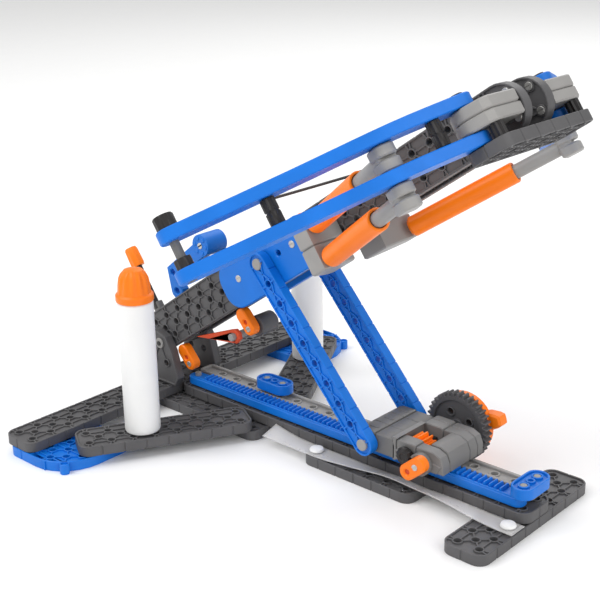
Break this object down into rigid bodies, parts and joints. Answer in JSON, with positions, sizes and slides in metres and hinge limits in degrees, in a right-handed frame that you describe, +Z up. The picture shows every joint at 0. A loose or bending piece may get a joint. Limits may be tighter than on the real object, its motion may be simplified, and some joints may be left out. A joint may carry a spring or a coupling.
{
  "type": "toy dart crossbow on an elevation stand",
  "caption": "Desktop dart crossbow of snap-together beams: two-plate bow limbs on telescoping struts, and a rack and crank carriage that tilts the arm.",
  "frame": {"origin": "on the floor, in the mirror plane, below the rear end of the long base beam", "axes": "+X forwards along the base beam, +Z up, +Y to the left; the arm's hinge runs along Y"},
  "size_m": [0.3073, 0.3042, 0.225],
  "materials": {
    "dark_gray": "moulded, satin",
    "mid_gray": "moulded, satin",
    "light_gray": "moulded, satin",
    "blue": "moulded, semi-gloss",
    "orange": "moulded, semi-gloss",
    "black": "moulded, satin",
    "cord_black": "braided cord",
    "white": "smooth",
    "film": "translucent film",
    "rubber_red": "stretched band"
  },
  "bodies": {
    "root": {"base_beam": "dark_gray", "front_cross_beam": "dark_gray", "rear_plate": "dark_gray", "side_plate": "dark_gray", "leg_beam_r": "dark_gray", "leg_beam_l": "dark_gray", "leg_brace_r": "dark_gray", "leg_brace_l": "dark_gray", "foot_plate_r": "blue", "foot_plate_l": "blue", "pivot_bracket_r": "dark_gray", "pivot_bracket_l": "dark_gray", "rack_gear": "blue", "slide_rail": "light_gray", "front_stop": "blue", "film_strip": "film"},
    "rear_stop_arm": {"rear_stop": "blue"},
    "carriage": {"gearbox_housing": "mid_gray", "gearbox_cover": "light_gray"},
    "crank": {"pinion": "orange", "crank_gear": "dark_gray", "crank_shaft": "black", "crank_knob": "orange"},
    "lock": {"lock_lever": "orange"},
    "arm": {"arm_beam_r": "dark_gray", "arm_beam_l": "dark_gray", "arm_core": "dark_gray", "side_cover_r": "blue", "side_cover_l": "blue", "head_plate": "dark_gray", "limb_connector_r": "light_gray", "limb_connector_l": "light_gray", "piston_mount_r": "light_gray", "piston_mount_l": "light_gray", "bowstring": "cord_black", "rubber_band": "rubber_red"},
    "struts": {"strut_r": "blue", "strut_l": "blue"},
    "trigger": {"trigger_lever": "orange"},
    "cocking": {"cocking_lever": "blue"},
    "latch_front": {"latch_lever_front": "orange"},
    "latch_rear": {"latch_lever_rear": "orange"},
    "dart_r": {"dart_body_r": "white", "dart_cap_r": "orange"},
    "dart_l": {"dart_body_l": "white", "dart_cap_l": "orange"},
    "limb_r": {"limb_plate_upper_r": "blue", "limb_plate_lower_r": "blue", "limb_post_r": "black"},
    "tubes_r": {"piston_tube_upper_r": "orange", "piston_tube_lower_r": "orange"},
    "rods_r": {"piston_rod_upper_r": "light_gray", "piston_rod_lower_r": "light_gray"},
    "limb_l": {"limb_plate_upper_l": "blue", "limb_plate_lower_l": "blue", "limb_post_l": "black"},
    "tubes_l": {"piston_tube_upper_l": "orange", "piston_tube_lower_l": "orange"},
    "rods_l": {"piston_rod_upper_l": "light_gray", "piston_rod_lower_l": "light_gray"}
  },
  "joints": [
    {"name": "arm_lift", "type": "hinge", "parent": "root", "child": "arm", "pos_m": [-0.01016, 0, 0.0385], "axis": [0, -1, 0], "range_deg": [-8, 8]},
    {"name": "carriage_slide", "type": "slide", "parent": "root", "child": "carriage", "axis": [1, 0, 0], "range_m": [-0.03, 0.03]},
    {"name": "strut_swing", "type": "hinge", "parent": "arm", "child": "struts", "pos_m": [0.08306, 0, 0.11137], "axis": [0, -1, 0], "range_deg": [-20, 20]},
    {"name": "crank_spin", "type": "hinge", "parent": "carriage", "child": "crank", "pos_m": [0.18378, 0, 0.0254], "axis": [0, 1, 0], "range_deg": [-300, 300]},
    {"name": "lock_turn", "type": "hinge", "parent": "carriage", "child": "lock", "pos_m": [0.19394, -0.0235, 0.02413], "axis": [0, -1, 0], "range_deg": [-20, 20]},
    {"name": "rear_stop_turn", "type": "hinge", "parent": "root", "child": "rear_stop_arm", "pos_m": [0.05842, 0.00635, 0.0234], "axis": [0, 0, 1], "range_deg": [-90, 90]},
    {"name": "trigger_pull", "type": "hinge", "parent": "arm", "child": "trigger", "pos_m": [-0.02595, -0.005, 0.05524], "axis": [0, -1, 0], "range_deg": [-5, 25]},
    {"name": "cocking_turn", "type": "hinge", "parent": "arm", "child": "cocking", "pos_m": [-0.00976, 0, 0.06981], "axis": [0, -1, 0], "range_deg": [-12, 45]},
    {"name": "latch_front_turn", "type": "hinge", "parent": "arm", "child": "latch_front", "pos_m": [0.05645, -0.0094, 0.07053], "axis": [0, -1, 0], "range_deg": [-15, 15]},
    {"name": "latch_rear_turn", "type": "hinge", "parent": "arm", "child": "latch_rear", "pos_m": [0.00378, -0.0094, 0.03419], "axis": [0, -1, 0], "range_deg": [-15, 15]},
    {"name": "dart_lift_r", "type": "slide", "parent": "root", "child": "dart_r", "axis": [0, 0, 1], "range_m": [0, 0.03]},
    {"name": "dart_lift_l", "type": "slide", "parent": "root", "child": "dart_l", "axis": [0, 0, 1], "range_m": [0, 0.03]},
    {"name": "limb_flex_r", "type": "hinge", "parent": "arm", "child": "limb_r", "pos_m": [0.22628, -0.034, 0.21018], "axis": [0.5678, 0, -0.8231], "range_deg": [0, 12]},
    {"name": "tube_swing_r", "type": "hinge", "parent": "arm", "child": "tubes_r", "pos_m": [0.13327, -0.033, 0.14601], "axis": [0.5678, 0, -0.8231], "range_deg": [-3, 3]},
    {"name": "rod_slide_r", "type": "slide", "parent": "tubes_r", "child": "rods_r", "axis": [0.764, -0.3721, 0.5271], "range_m": [-0.011, 0.001]},
    {"name": "limb_flex_l", "type": "hinge", "parent": "arm", "child": "limb_l", "pos_m": [0.22628, 0.034, 0.21018], "axis": [-0.5678, 0, 0.8231], "range_deg": [0, 12]},
    {"name": "tube_swing_l", "type": "hinge", "parent": "arm", "child": "tubes_l", "pos_m": [0.13327, 0.033, 0.14601], "axis": [-0.5678, 0, 0.8231], "range_deg": [-3, 3]},
    {"name": "rod_slide_l", "type": "slide", "parent": "tubes_l", "child": "rods_l", "axis": [0.764, 0.3721, 0.5271], "range_m": [-0.011, 0.001]}
  ],
  "couplings": [
    {"joint": "carriage_slide", "follows": "arm_lift", "m_per_rad": -0.17999},
    {"joint": "strut_swing", "follows": "arm_lift", "ratio": -2.2463},
    {"joint": "crank_spin", "follows": "arm_lift", "ratio": -28.345},
    {"joint": "limb_flex_l", "follows": "limb_flex_r", "ratio": 1},
    {"joint": "tube_swing_r", "follows": "limb_flex_r", "ratio": -0.12458},
    {"joint": "rod_slide_r", "follows": "limb_flex_r", "m_per_rad": -0.040155},
    {"joint": "tube_swing_l", "follows": "limb_flex_r", "ratio": -0.12458},
    {"joint": "rod_slide_l", "follows": "limb_flex_r", "m_per_rad": -0.040155}
  ]
}
